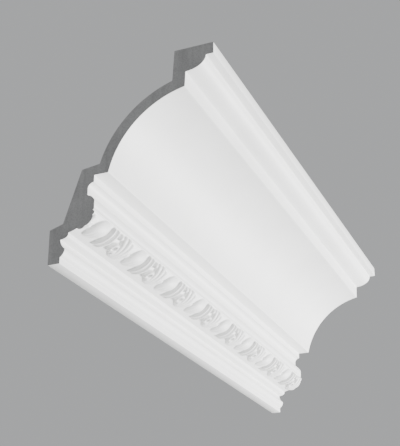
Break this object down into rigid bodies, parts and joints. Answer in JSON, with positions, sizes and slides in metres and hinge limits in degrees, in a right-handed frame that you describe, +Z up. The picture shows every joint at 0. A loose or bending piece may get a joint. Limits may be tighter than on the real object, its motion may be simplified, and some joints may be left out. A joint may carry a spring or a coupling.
{
  "type": "cornice moulding length",
  "caption": "Crown moulding length with a deep cove and a carved leaf-and-egg band, cut square at both ends, glued into the corner of wall and ceiling.",
  "frame": {"origin": "middle of the face that is glued to the wall, halfway along the length", "axes": "+X along the length, to the right for someone who faces the moulding; +Y into the wall; +Z up to the ceiling"},
  "size_m": [0.5336, 0.14, 0.17],
  "materials": {
    "white_priming": "matt white factory primer on rigid foam"
  },
  "bodies": {
    "root": {"cornice_moulding": "white_priming"}
  },
  "joints": []
}
